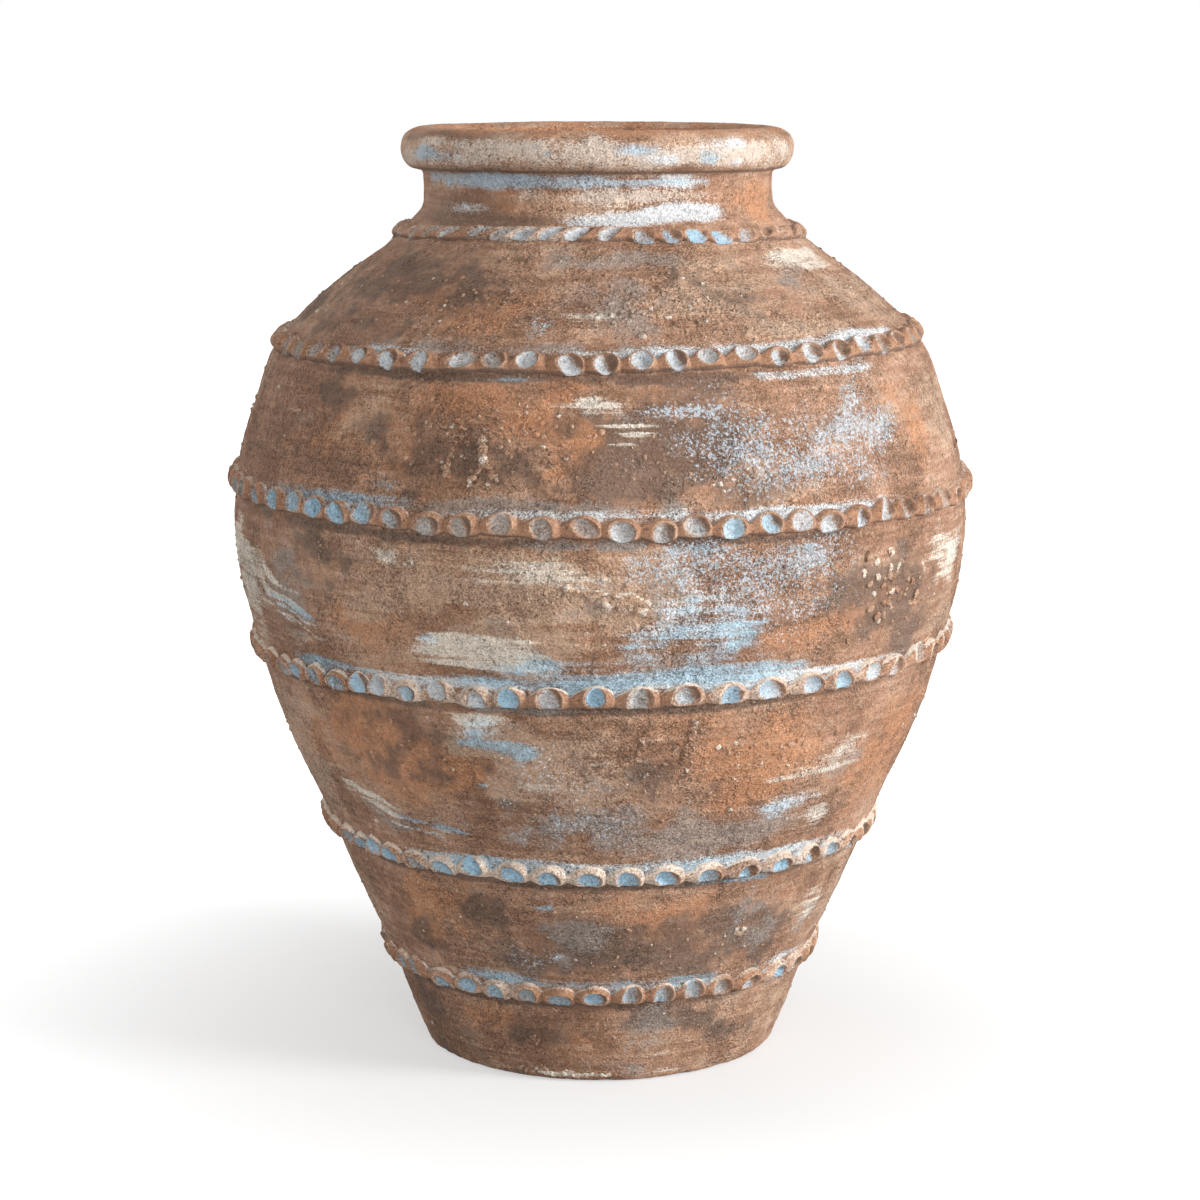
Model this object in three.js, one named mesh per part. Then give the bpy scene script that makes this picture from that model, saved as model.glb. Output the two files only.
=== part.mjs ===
// Terracotta storage jar, modelled as a potter builds it: a slab base, wall rings raised one on
// another, a neck, a rolled rim, and finger-pressed clay bands laid over the seams of the wall.
// Millimetres, +Z up, origin at the centre of the underside.

import * as THREE from 'three';

// The slab base, and the thickness of every wall above it.
const baseThickness = 15;
const baseSeamRadius = 118; // outer radius where the wall stands on the base
const baseEdgeRound = 3; // how far the rounded lower edge draws in from a sharp corner
const wallThickness = 13;

// Wall rings from the base up: the height of each ring, the outer radius at its top seam, and how
// far its face bows out of a straight line. The neck bows inwards.
const footWall = { height: 48.5, topRadius: 136, bow: 0.5 };
const lowerWall = { height: 85, topRadius: 173, bow: 0.5 };
const lowerBellyWall = { height: 116, topRadius: 217, bow: 3.5 };
const bellyWall = { height: 99.5, topRadius: 228, bow: 6 };
const shoulderWall = { height: 88.5, topRadius: 197.5, bow: 3.5 };
const upperShoulderWall = { height: 63.5, topRadius: 121.5, bow: 3.5 };
const neckWall = { height: 35.5, topRadius: 107, bow: -6 };

// The rolled rim, which overhangs the neck outside and is flush with it inside.
const rimHeight = 28.5;
const rimOverhang = 14;
const rimTopRound = 12;
const rimUnderRound = 12.5;
const rimMouthRound = 9;
const largestRound = 0.45; // of the side of the rim that a round is cut from

// Seams: a ridge on the lower piece keys into a groove in the piece above, with slip between. On the
// flat base it is the other way up: the wall's lower edge stands in a groove.
const seamKey = 4;
const slipGap = 0.3;

// Clay bands: the strip that is laid on, and the finger marks pressed along it. The band at the
// neck is flatter than those on the wall, and is pressed more closely.
const wallBand = { width: 15, projection: 5.5, fingerPitch: 24, clayUnderFinger: 1.5 };
const neckBand = { width: 17, projection: 4.5, fingerPitch: 20, clayUnderFinger: 1.5 };
const bandLipInset = 3; // from the edge of the strip to its rounded lip
const bandLipDrop = 1; // how much lower the lips are than the crown

// How finely round shapes are faceted.
const wallFacets = 48;
const facetError = 0.7; // how far a straight facet may leave a bowed face
const facetsPerFinger = 3; // two across each finger mark and one across the ridge beside it
const cornerFacets = 4;

// Fired clay, paler where limewash has stayed on it.
const clayColor = '#a5714f';
const paleClayColor = '#b98d6e';
const bandColor = '#b58662';

function firedClay(color) {
  return new THREE.MeshStandardMaterial({ color, roughness: 0.95, metalness: 0 });
}

// Section points are (radius, height). The outward side of an upward direction is on its right.
function outwardOf(along) {
  return new THREE.Vector2(along.y, -along.x);
}

// A face that leaves the straight line between two points by a bow at its middle.
function bowedFace(from, to, bow) {
  const along = to.clone().sub(from).normalize();
  const control = from.clone().lerp(to, 0.5).addScaledVector(outwardOf(along), 2 * bow);
  return new THREE.QuadraticBezierCurve(from, control, to);
}

// A level seam with no band over it, where the wall meets the base or the rim.
function levelSeam(middle, key) {
  return { middle, along: new THREE.Vector2(0, 1), reach: 0, key };
}

// A seam under a band: the two rings are dressed flat across the seat of the band, which reaches
// half its width along the face on either side.
function bandedSeam(lowerFace, upperFace, band) {
  const reach = band.width / 2;
  const low = lowerFace.getPointAt(1 - reach / lowerFace.getLength());
  const high = upperFace.getPointAt(reach / upperFace.getLength());
  const middle = low.clone().lerp(high, 0.5);
  const along = high.clone().sub(low);
  const halfSeat = along.length() / 2;
  return { middle, along: along.normalize(), reach, halfSeat, key: seamKey };
}

// The corners of a keyed seam face, from outside to inside, moved along the wall by a shift.
function seamCorners(seam, shift) {
  const inward = outwardOf(seam.along).negate();
  const outer = seam.middle.clone().addScaledVector(seam.along, shift);
  const ridge = outer.clone().addScaledVector(inward, wallThickness / 2).addScaledVector(seam.along, seam.key);
  const inner = outer.clone().addScaledVector(inward, wallThickness);
  return { outer, ridge, inner };
}

// Points of a bowed face between two places on it, given as shares of its length.
function facePoints(face, bow, from, to) {
  const spans = Math.max(1, Math.ceil(Math.sqrt(Math.abs(bow) / facetError)));
  return Array.from({ length: spans + 1 }, (_, i) => face.getPointAt(from + ((to - from) * i) / spans));
}

function closed(points) {
  return [...points, points[0].clone()];
}

function baseSection(seam) {
  const top = seamCorners(seam, -slipGap / 2);
  const flare = (footWall.topRadius - baseSeamRadius) / footWall.height;
  const sharpCorner = new THREE.Vector2(baseSeamRadius - flare * baseThickness, 0);
  const restEdge = new THREE.Vector2(sharpCorner.x - baseEdgeRound, 0);
  const edge = new THREE.QuadraticBezierCurve(restEdge, sharpCorner, top.outer);
  const underside = new THREE.Vector2(0, 0);
  const floor = new THREE.Vector2(0, top.inner.y);
  return [underside, ...edge.getPoints(cornerFacets), top.ridge, top.inner, floor];
}

function wallSection(ring, face, seamBelow, seamAbove) {
  const below = seamCorners(seamBelow, slipGap / 2);
  const above = seamCorners(seamAbove, -slipGap / 2);
  const length = face.getLength();
  const outside = facePoints(face, ring.bow, seamBelow.reach / length, 1 - seamAbove.reach / length);
  if (seamBelow.reach === 0) outside.shift();
  if (seamAbove.reach === 0) outside.pop();
  const inside = facePoints(bowedFace(above.inner, below.inner, -ring.bow), ring.bow, 0, 1);
  return closed([below.outer, ...outside, above.outer, above.ridge, ...inside, below.ridge]);
}

function rimSection(seam) {
  const seat = seamCorners(seam, slipGap / 2);
  const innerRadius = seat.inner.x;
  const outerRadius = seat.outer.x + rimOverhang;
  const bottom = seat.outer.y;
  const top = seam.middle.y + rimHeight;
  const roomUp = largestRound * (top - bottom);
  const roomAcross = largestRound * (outerRadius - innerRadius);
  const topRound = Math.min(rimTopRound, roomUp, roomAcross);
  const mouthRound = Math.min(rimMouthRound, roomUp, roomAcross);
  const underRound = Math.min(rimUnderRound, roomUp, 2 * largestRound * rimOverhang);
  const outline = new THREE.Shape();
  outline.moveTo(innerRadius, bottom);
  outline.lineTo(seat.ridge.x, seat.ridge.y);
  outline.lineTo(seat.outer.x, bottom);
  outline.lineTo(outerRadius - underRound, bottom);
  outline.absarc(outerRadius - underRound, bottom + underRound, underRound, -Math.PI / 2, 0);
  outline.lineTo(outerRadius, top - topRound);
  outline.absarc(outerRadius - topRound, top - topRound, topRound, 0, Math.PI / 2);
  outline.lineTo(innerRadius + mouthRound, top);
  outline.absarc(innerRadius + mouthRound, top - mouthRound, mouthRound, Math.PI / 2, Math.PI);
  return closed(outline.getPoints(Math.ceil(cornerFacets / 2)));
}

// The plain strip, standing on its seat with slip behind it: edge, lip, crown, lip, edge.
function bandSection(seam, band) {
  const outward = outwardOf(seam.along);
  const place = (up, out) =>
    seam.middle.clone().addScaledVector(seam.along, up).addScaledVector(outward, slipGap + out);
  const edge = seam.halfSeat;
  const lip = edge - bandLipInset;
  const lipHeight = band.projection - bandLipDrop;
  return closed([
    place(-edge, 0),
    place(-lip, lipHeight),
    place(0, band.projection),
    place(lip, lipHeight),
    place(edge, 0),
  ]);
}

// A strip turned about the axis, with its crown pressed down at every finger mark.
function pressedBand(seam, band) {
  const section = bandSection(seam, band);
  const fingers = Math.round((2 * Math.PI * seam.middle.x) / band.fingerPitch);
  const facets = fingers * facetsPerFinger;
  const geometry = new THREE.LatheGeometry(section, facets);
  const position = geometry.attributes.position;
  const crownPoint = Math.floor((section.length - 1) / 2);
  const depth = band.projection - band.clayUnderFinger;
  const pressed = section[crownPoint].clone().addScaledVector(outwardOf(seam.along), -depth);
  for (let facet = 1; facet < facets; facet += facetsPerFinger) {
    const angle = (2 * Math.PI * facet) / facets;
    const i = facet * section.length + crownPoint;
    position.setXYZ(i, pressed.x * Math.sin(angle), pressed.y, pressed.x * Math.cos(angle));
  }
  return geometry;
}

const rings = [
  { name: 'foot_wall', size: footWall, color: clayColor },
  { name: 'lower_wall', size: lowerWall, color: clayColor },
  { name: 'lower_belly_wall', size: lowerBellyWall, color: clayColor },
  { name: 'belly_wall', size: bellyWall, color: clayColor },
  { name: 'shoulder_wall', size: shoulderWall, color: clayColor },
  { name: 'upper_shoulder_wall', size: upperShoulderWall, color: clayColor },
  { name: 'neck', size: neckWall, color: paleClayColor },
];

// The band over the seam at the top of each ring but the last, whose seam the rim covers.
const bands = [
  { name: 'foot_band', size: wallBand },
  { name: 'lower_band', size: wallBand },
  { name: 'lower_belly_band', size: wallBand },
  { name: 'belly_band', size: wallBand },
  { name: 'shoulder_band', size: wallBand },
  { name: 'neck_band', size: neckBand },
];

// Outer corners of the rings, stacked from the base up, the faces between them and their seams.
const corners = [new THREE.Vector2(baseSeamRadius, baseThickness)];
for (const { size } of rings) {
  corners.push(new THREE.Vector2(size.topRadius, corners.at(-1).y + size.height));
}
const faces = rings.map(({ size }, i) => bowedFace(corners[i], corners[i + 1], size.bow));
const seams = [
  levelSeam(corners[0], -seamKey),
  ...bands.map(({ size }, i) => bandedSeam(faces[i], faces[i + 1], size)),
  levelSeam(corners.at(-1), seamKey),
];

// Pieces are turned about the Y axis, and the jar stands them up along Z.
const jar = new THREE.Group();
jar.name = 'terracotta_jar';
jar.rotation.x = Math.PI / 2;

function addPiece(name, geometry, color) {
  const piece = new THREE.Mesh(geometry, firedClay(color));
  piece.name = name;
  jar.add(piece);
}

addPiece('base', new THREE.LatheGeometry(baseSection(seams[0]), wallFacets), clayColor);
rings.forEach(({ name, size, color }, i) => {
  const section = wallSection(size, faces[i], seams[i], seams[i + 1]);
  addPiece(name, new THREE.LatheGeometry(section, wallFacets), color);
});
addPiece('rim', new THREE.LatheGeometry(rimSection(seams.at(-1)), wallFacets), paleClayColor);
bands.forEach(({ name, size }, i) => addPiece(name, pressedBand(seams[i + 1], size), bandColor));

export default jar;
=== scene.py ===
import math

import bpy
import numpy as np
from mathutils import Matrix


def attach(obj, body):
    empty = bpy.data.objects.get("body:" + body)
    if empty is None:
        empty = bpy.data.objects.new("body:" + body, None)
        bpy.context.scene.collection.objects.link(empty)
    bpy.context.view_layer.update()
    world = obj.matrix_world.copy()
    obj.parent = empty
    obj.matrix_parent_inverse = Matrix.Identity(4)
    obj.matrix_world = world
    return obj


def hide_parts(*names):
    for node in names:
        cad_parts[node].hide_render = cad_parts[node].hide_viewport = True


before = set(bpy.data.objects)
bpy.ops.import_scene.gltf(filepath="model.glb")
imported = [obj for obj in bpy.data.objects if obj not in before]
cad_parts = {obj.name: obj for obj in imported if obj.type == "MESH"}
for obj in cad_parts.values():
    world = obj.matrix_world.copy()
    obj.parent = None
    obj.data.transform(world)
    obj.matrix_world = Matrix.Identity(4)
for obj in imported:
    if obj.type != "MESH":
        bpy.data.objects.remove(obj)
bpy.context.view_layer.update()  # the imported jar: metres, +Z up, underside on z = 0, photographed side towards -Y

dice = np.random.default_rng(11)

# Angles go round the jar in degrees: 0 is the photographed front, +90 is its right side.

jar = {
    "wall": 0.013,
    "spacing": 0.0015,  # between mesh points on the outside of a wall
    "insideRows": 14,
    "fingerRipple": 0.0009,  # marks left inside by the hand that raised the wall
    "rippleStep": 0.019,
    "slopeReach": 0.004,  # how far up and down the face its slope is measured
    "skin": 0.003,  # depth of what counts as the outside
    "seamFade": (-0.001, 0.010),  # distances from a seam over which the surface gets rough
    "insideRough": 0.1,
    "insideOrange": 0.7,
    "gritMargin": 0.004,  # along a seam, free of grit
    "lean": -0.0015,  # how far the mouth has settled to one side
    "leanHeights": (0.490, 0.555),
    "sharpEdge": 50,  # degrees
    "weld": 1e-6,  # points closer than this are merged
    # outer face from the foot up, as (height, radius)
    "face": [
        (0.0014, 0.1125), (0.015, 0.118), (0.0635, 0.136), (0.105, 0.155), (0.1485, 0.173),
        (0.205, 0.1985), (0.2645, 0.217), (0.313, 0.2283), (0.364, 0.228), (0.410, 0.2165),
        (0.4525, 0.1975), (0.486, 0.1625), (0.512, 0.128), (0.524, 0.1157), (0.531, 0.1097),
        (0.540, 0.1080), (0.5515, 0.1082),
    ],
}
faceHeights, faceRadii = np.array(jar["face"]).T


def curveThrough(places, values, at):
    # a smooth curve that meets every value at its place
    slopes = np.gradient(values, places)
    i = np.clip(np.searchsorted(places, at) - 1, 0, len(places) - 2)
    span = places[i + 1] - places[i]
    t = (at - places[i]) / span
    rise = values[i + 1] - values[i]
    bend0 = slopes[i] * span - rise
    bend1 = rise - slopes[i + 1] * span
    return values[i] + rise * t + t * (1 - t) * (bend0 * (1 - t) + bend1 * t)


def faceRadius(height):
    return curveThrough(faceHeights, faceRadii, height)


def faceDirections(height, reach):
    # unit steps (radius, height) up the face and out of it
    up = np.array([faceRadius(height + reach) - faceRadius(height - reach), 2 * reach])
    up /= np.linalg.norm(up)
    return up, np.array([up[1], -up[0]])


def drawSection(name, points):
    # a plane merged to one point, then the rest of the closed outline extruded from it
    bpy.ops.object.select_all(action="DESELECT")
    bpy.ops.mesh.primitive_plane_add(size=0.01, location=(points[0][0], 0, points[0][1]))
    piece = bpy.context.object
    piece.name = piece.data.name = name
    bpy.ops.object.transform_apply(location=True)
    bpy.ops.object.mode_set(mode="EDIT")
    bpy.ops.mesh.merge(type="CENTER")
    for here, there in zip(points, points[1:] + points[:1]):
        step = (there[0] - here[0], 0, there[1] - here[1])
        bpy.ops.mesh.extrude_vertices_move(TRANSFORM_OT_translate={"value": step})
    bpy.ops.mesh.select_all(action="SELECT")
    bpy.ops.mesh.remove_doubles(threshold=jar["weld"])
    bpy.ops.object.mode_set(mode="OBJECT")
    return piece


def turnOnWheel(piece, columns):
    wheel = piece.modifiers.new("wheel", "SCREW")
    wheel.steps = wheel.render_steps = columns
    wheel.use_merge_vertices = True
    wheel.merge_threshold = jar["weld"]
    bpy.ops.object.modifier_apply(modifier="wheel")
    bpy.ops.object.mode_set(mode="EDIT")
    bpy.ops.mesh.select_all(action="SELECT")
    bpy.ops.mesh.remove_doubles(threshold=jar["weld"])
    bpy.ops.mesh.normals_make_consistent(inside=False)
    bpy.ops.object.mode_set(mode="OBJECT")


def pointsOf(piece):
    flat = np.empty(3 * len(piece.data.vertices))
    piece.data.vertices.foreach_get("co", flat)
    return flat.reshape(-1, 3)


def polar(points):
    return np.degrees(np.arctan2(points[:, 0], -points[:, 1])), np.hypot(points[:, 0], points[:, 1])


def fromPolar(angles, radii, heights):
    turn = np.radians(angles)
    return np.stack([radii * np.sin(turn), -radii * np.cos(turn), heights], axis=1)


def placePoints(piece, points):
    piece.data.vertices.foreach_set("co", points.ravel())
    piece.data.update()


def roughen(piece, share, layers):
    # clay texture pushed out of the surface, where share is above 0: layers are (size, height)
    group = piece.vertex_groups.new(name="skin")
    steps = 8
    levels = np.round(steps * share).astype(int)
    for level in range(1, steps + 1):
        group.add(np.nonzero(levels == level)[0].tolist(), level / steps, "REPLACE")
    for size, height in layers:
        pattern = bpy.data.textures.new("claySurface", "CLOUDS")
        pattern.noise_scale = size
        pattern.noise_depth = 2
        push = piece.modifiers.new("push", "DISPLACE")
        push.texture = pattern
        push.texture_coords = "LOCAL"
        push.strength = height
        push.vertex_group = "skin"
        bpy.ops.object.modifier_apply(modifier=push.name)
    piece.vertex_groups.clear()


def stretch(values, low, high):
    t = np.clip((values - low) / (high - low), 0, 1)
    return t * t * (3 - 2 * t)


colourLayers = ["orange", "tan", "dark", "grey", "cream", "fleck", "white", "blue"]

brushwork = {
    # the edges of marks wander in waves of these sizes, round the jar and up it
    "waves": (0.070, 0.034, 0.017, 0.008),
    "wavesOfSize": 3,
    "mostTurns": 8, "turnSize": 0.14, "climb": 5, "latestStart": 6.3,
    "usualSum": 0.1,
    "sideDrift": 2.2, "sideSeed": 3,  # degrees
    "upDrift": 0.002, "upSeed": 4,
    "lineHeight": 0.012, "loosest": 2.6,  # thin lines keep along the bands, large marks stray further
    "backShift": 12,  # degrees by which marks on the back differ from those on the front
    "backStrength": (0.6, 1),
}


def wander(angles, heights, reach, seed):
    # a smooth seeded drift, so that no brush mark has a straight edge
    drift = np.random.default_rng(seed)
    total = np.zeros(len(angles))
    for size in brushwork["waves"]:
        for wave in range(brushwork["wavesOfSize"]):
            turns, rise = drift.integers(1, brushwork["mostTurns"] + 1), drift.normal()
            start = drift.uniform(0, brushwork["latestStart"])
            turns = round(turns * brushwork["turnSize"] / size)
            climb = rise * heights * brushwork["climb"] / size
            total += size * np.sin(np.radians(turns * angles) + climb + start)
    return reach * total / brushwork["usualSum"]


def markCover(angles, heights, angle, height, halfWidth, halfHeight, strength, slope=0, crisp=1.15):
    across = (angles - angle + 180) % 360 - 180
    up = heights - height - slope * across
    return strength * np.exp(-(((across / halfWidth) ** 2 + (up / halfHeight) ** 2) ** crisp))


def coverOf(angles, heights, marks):
    # how much of each colour layer lies on every point; the back repeats the front, mirrored
    bare = {layer: np.ones(len(angles)) for layer in colourLayers}
    sides = angles + wander(angles, heights, brushwork["sideDrift"], brushwork["sideSeed"])
    drift = wander(angles, heights, brushwork["upDrift"], brushwork["upSeed"])
    shift = brushwork["backShift"]
    for layer, angle, height, halfWidth, halfHeight, *rest in marks:
        loose = min(brushwork["loosest"], (halfHeight / brushwork["lineHeight"]) ** 2)
        ups = heights + loose * drift
        size = (height, halfWidth, halfHeight, *rest)
        bare[layer] *= 1 - markCover(sides, ups, angle, *size)
        behind = 180 - angle + dice.uniform(-shift, shift)
        strength = dice.uniform(*brushwork["backStrength"])
        bare[layer] *= 1 - strength * markCover(sides, ups, behind, *size)
    return {layer: 1 - left for layer, left in bare.items()}


def paint(piece, cover):
    for layer in colourLayers:
        made = piece.data.attributes.new(layer, "FLOAT", "POINT")
        made.data.foreach_set("value", cover[layer].astype(np.float32))


def addNode(tree, kind, inputs, **options):
    made = tree.nodes.new(kind)
    for name, value in options.items():
        setattr(made, name, value)
    for key, value in inputs.items():
        if isinstance(value, bpy.types.NodeSocket):
            tree.links.new(value, made.inputs[key])
        else:
            made.inputs[key].default_value = value
    return made


def ramp(tree, value, low, high, toLow=0.0, toHigh=1.0):
    inputs = {"Value": value, "From Min": low, "From Max": high, "To Min": toLow, "To Max": toHigh}
    return addNode(tree, "ShaderNodeMapRange", inputs, interpolation_type="SMOOTHSTEP").outputs[0]


def combine(tree, operation, a, b, c=1.0):
    return addNode(tree, "ShaderNodeMath", {0: a, 1: b, 2: c}, operation=operation).outputs[0]


def mixColour(tree, share, a, b, blend="MIX"):
    made = addNode(tree, "ShaderNodeMix", {0: share, 6: a, 7: b}, data_type="RGBA", blend_type=blend)
    return made.outputs[2]


clay = {
    # noises: repeats in a metre, detail, roughness, and what sets one apart; streaks and brush marks
    # run round the jar, smears run down it
    "noises": {
        "cloud": (11, 3, 0.5, {}),
        "blotch": (42, 6, 0.62, {}),
        "streak": (19, 6, 0.64, {"flatness": 12}),
        "brush": (15, 4, 0.55, {"flatness": 24, "shift": 1.7, "twist": 0.3}),
        "smear": (46, 5, 0.6, {"flatness": 0.2}),
        "lump": (210, 2, 0.5, {"shift": 3.1, "low": 0.55, "high": 0.69, "twist": 0.6}),
        "pit": (400, 1, 0.5, {"shift": 7.7, "low": 0.64, "high": 0.72}),
        "mottle": (125, 7, 0.72, {"shift": 2.3, "low": 0.34, "high": 0.66}),
        "speck": (520, 4, 0.68, {"shift": 5.3, "low": 0.34, "high": 0.66}),
        "patch": (16, 3, 0.6, {"shift": 9.1, "low": 0.38, "high": 0.62}),
    },
    "sand": 1250, "gravel": 620,  # grains in a metre
    "domeReach": (0.8, 0.1),  # from the edge of a gravel grain to its top
    # bare clay from damp and dirty to dry and dusty
    "patina": [
        (0.18, (0.190, 0.102, 0.062, 1)),
        (0.40, (0.275, 0.150, 0.092, 1)),
        (0.54, (0.355, 0.203, 0.130, 1)),
        (0.68, (0.430, 0.268, 0.180, 1)),
        (0.88, (0.525, 0.362, 0.264, 1)),
    ],
    "patinaMix": {
        "cloud": 0.27, "blotch": 0.22, "streak": 0.24, "brush": 0.09, "smear": 0.10, "grain": 0.08,
    },
    # raised lumps are painted paler: partly dry clay, partly a painted highlight on their tops
    "lumpColour": (0.560, 0.380, 0.265, 1), "lumpShare": 0.3,
    # pits are painted dark: partly dark specks, partly painted shade in the hollows
    "pitColour": (0.085, 0.052, 0.038, 1), "pitShare": 0.5,
    # washes: colour, what breaks up the edge, then how far it does, softness of the edge, opacity and
    # share all over
    "washes": {
        "orange": ((0.455, 0.208, 0.102, 1), {"blotch": 0.7, "grain": 0.3}, 0.70, 0.22, 0.64, 0.00),
        "tan": (
            (0.480, 0.330, 0.232, 1), {"streak": 0.2, "brush": 0.25, "blotch": 0.4, "grain": 0.15},
            0.76, 0.20, 0.62, 0.08,
        ),
        "dark": (
            (0.112, 0.074, 0.056, 1), {"blotch": 0.62, "smear": 0.16, "grain": 0.22},
            1.10, 0.17, 0.74, 0.02,
        ),
        "grey": (
            (0.285, 0.250, 0.226, 1), {"blotch": 0.56, "streak": 0.20, "grain": 0.24},
            1.00, 0.17, 0.62, 0.03,
        ),
        "cream": (
            (0.690, 0.620, 0.530, 1), {"streak": 0.3, "brush": 0.35, "blotch": 0.2, "grain": 0.15},
            0.76, 0.17, 0.82, 0.02,
        ),
        "fleck": (
            (0.455, 0.520, 0.575, 1), {"grain": 0.22, "speck": 0.52, "blotch": 0.26},
            0.84, 0.12, 0.74, 0.04,
        ),
        "white": (
            (0.610, 0.660, 0.690, 1), {"brush": 0.25, "streak": 0.2, "blotch": 0.3, "grain": 0.25},
            0.74, 0.20, 0.80, -0.07,
        ),
        "blue": (
            (0.300, 0.470, 0.575, 1), {"brush": 0.25, "streak": 0.2, "blotch": 0.35, "grain": 0.2},
            0.74, 0.22, 0.74, -0.07,
        ),
    },
    "thickWashes": ("fleck", "white"), "thickness": 0.25,
    "relief": {
        "dome": 0.3, "stone": 0.3, "grain": 0.3, "mottle": 0.7, "lump": 1.0, "blotch": 0.6,
        "streak": 0.35, "pit": -0.8,
    },
    "bump": 0.0014, "smoothest": 0.55,  # least share of the bump, where there is no sand
    "shade": 0.66, "shadeRange": (-0.62, 1.2),  # of single grains
    "shadeMix": {"grain": 0.6, "stone": 0.15, "mottle": 0.25},
    "roughness": 0.92, "shine": 0.2, "dust": 0.05, "dustRoughness": 0.5,
}


def makeClay(name, look):
    material = bpy.data.materials.new(name)
    material.use_nodes = True
    tree = material.node_tree
    shader = tree.nodes["Principled BSDF"]
    place = addNode(tree, "ShaderNodeTexCoord", {}).outputs["Object"]

    def noise(size, detail, rough, flatness=1.0, shift=0.0, low=0.3, high=0.7, twist=0.0):
        inputs = {"Vector": place, "Scale": (1, 1, flatness), "Location": (shift, 0, 0)}
        spot = addNode(tree, "ShaderNodeMapping", inputs).outputs[0]
        inputs = {"Vector": spot, "Scale": size, "Detail": detail, "Roughness": rough, "Distortion": twist}
        return ramp(tree, addNode(tree, "ShaderNodeTexNoise", inputs).outputs[0], low, high)

    def grains(size):
        cells = addNode(tree, "ShaderNodeTexVoronoi", {"Vector": place, "Scale": size})
        tint = addNode(tree, "ShaderNodeSeparateColor", {0: cells.outputs["Color"]}).outputs[0]
        return tint, cells.outputs["Distance"]

    noises = {source: noise(*plain, **own) for source, (*plain, own) in look["noises"].items()}
    noises["grain"], _ = grains(look["sand"])
    noises["stone"], fromMiddle = grains(look["gravel"])
    noises["dome"] = ramp(tree, fromMiddle, *look["domeReach"])

    def blend(start, amounts, scale=1.0):
        total = start
        for source, amount in amounts.items():
            total = combine(tree, "MULTIPLY_ADD", noises[source], amount * scale, total)
        return total

    patina = addNode(tree, "ShaderNodeValToRGB", {"Fac": blend(0.0, look["patinaMix"])})
    stops = patina.color_ramp.elements
    while len(stops) < len(look["patina"]):
        stops.new(0.5)
    for stop, (position, tint) in zip(stops, look["patina"]):
        stop.position = position
        stop.color = tint
    # raised lumps painted paler, partly as a painted highlight
    lumps = combine(tree, "MULTIPLY", noises["lump"], look["lumpShare"])
    colour = mixColour(tree, lumps, patina.outputs[0], look["lumpColour"])
    relief = blend(0.0, look["relief"])
    for layer, (tint, breakUp, reach, soft, opacity, allOver) in look["washes"].items():
        cover = addNode(tree, "ShaderNodeAttribute", {}, attribute_name=layer).outputs["Fac"]
        edge = 0.5 + 0.5 * reach - allOver
        share = ramp(tree, blend(cover, breakUp, reach), edge - soft, edge + soft, 0, opacity)
        colour = mixColour(tree, share, colour, tint)
        if layer in look["thickWashes"]:
            relief = combine(tree, "MULTIPLY_ADD", share, look["thickness"], relief)
    # pits painted dark, partly as painted shade in the hollows
    pits = combine(tree, "MULTIPLY", noises["pit"], look["pitShare"])
    colour = mixColour(tree, pits, colour, look["pitColour"])
    sandiness = ramp(tree, noises["patch"], 0, 1, look["smoothest"], 1.0)
    darkest, palest = (look["shade"] * share for share in look["shadeRange"])
    shade = ramp(tree, blend(0.0, look["shadeMix"]), 0, 1, darkest, palest)
    shade = combine(tree, "MULTIPLY_ADD", shade, sandiness)
    shadeColour = addNode(tree, "ShaderNodeCombineColor", {0: shade, 1: shade, 2: shade}).outputs[0]
    colour = mixColour(tree, 1.0, colour, shadeColour, "MULTIPLY")
    tree.links.new(colour, shader.inputs["Base Color"])
    shader.inputs["Roughness"].default_value = look["roughness"]
    shader.inputs["Specular IOR Level"].default_value = look["shine"]
    shader.inputs["Sheen Weight"].default_value = look["dust"]
    shader.inputs["Sheen Roughness"].default_value = look["dustRoughness"]
    inputs = {"Height": relief, "Distance": look["bump"], "Strength": sandiness}
    bump = addNode(tree, "ShaderNodeBump", inputs)
    tree.links.new(bump.outputs[0], shader.inputs["Normal"])
    return material


terracotta = makeClay("terracotta", clay)
limewash = {
    # on the neck and rim the washes are thin and lie softly
    **clay,
    "bump": 0.0009, "shade": 0.50,
    "washes": {
        **clay["washes"],
        "orange": ((0.480, 0.235, 0.125, 1), {"blotch": 0.7, "grain": 0.3}, 0.72, 0.19, 0.74, 0.02),
        "tan": (
            (0.520, 0.360, 0.258, 1), {"streak": 0.3, "blotch": 0.4, "grain": 0.3},
            0.60, 0.24, 0.62, 0.10,
        ),
        "dark": ((0.130, 0.088, 0.066, 1), {"blotch": 0.5, "grain": 0.5}, 0.60, 0.22, 0.60, 0.02),
        "cream": (
            (0.610, 0.515, 0.440, 1), {"streak": 0.15, "blotch": 0.5, "grain": 0.35},
            0.90, 0.16, 0.74, 0.04,
        ),
        "white": (
            (0.620, 0.655, 0.680, 1), {"streak": 0.2, "blotch": 0.45, "grain": 0.35},
            0.66, 0.27, 0.84, -0.04,
        ),
        "blue": (
            (0.370, 0.490, 0.575, 1), {"streak": 0.2, "blotch": 0.45, "grain": 0.35},
            0.66, 0.28, 0.76, 0.00,
        ),
    },
}
limewashedClay = makeClay("limewashedClay", limewash)
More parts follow.
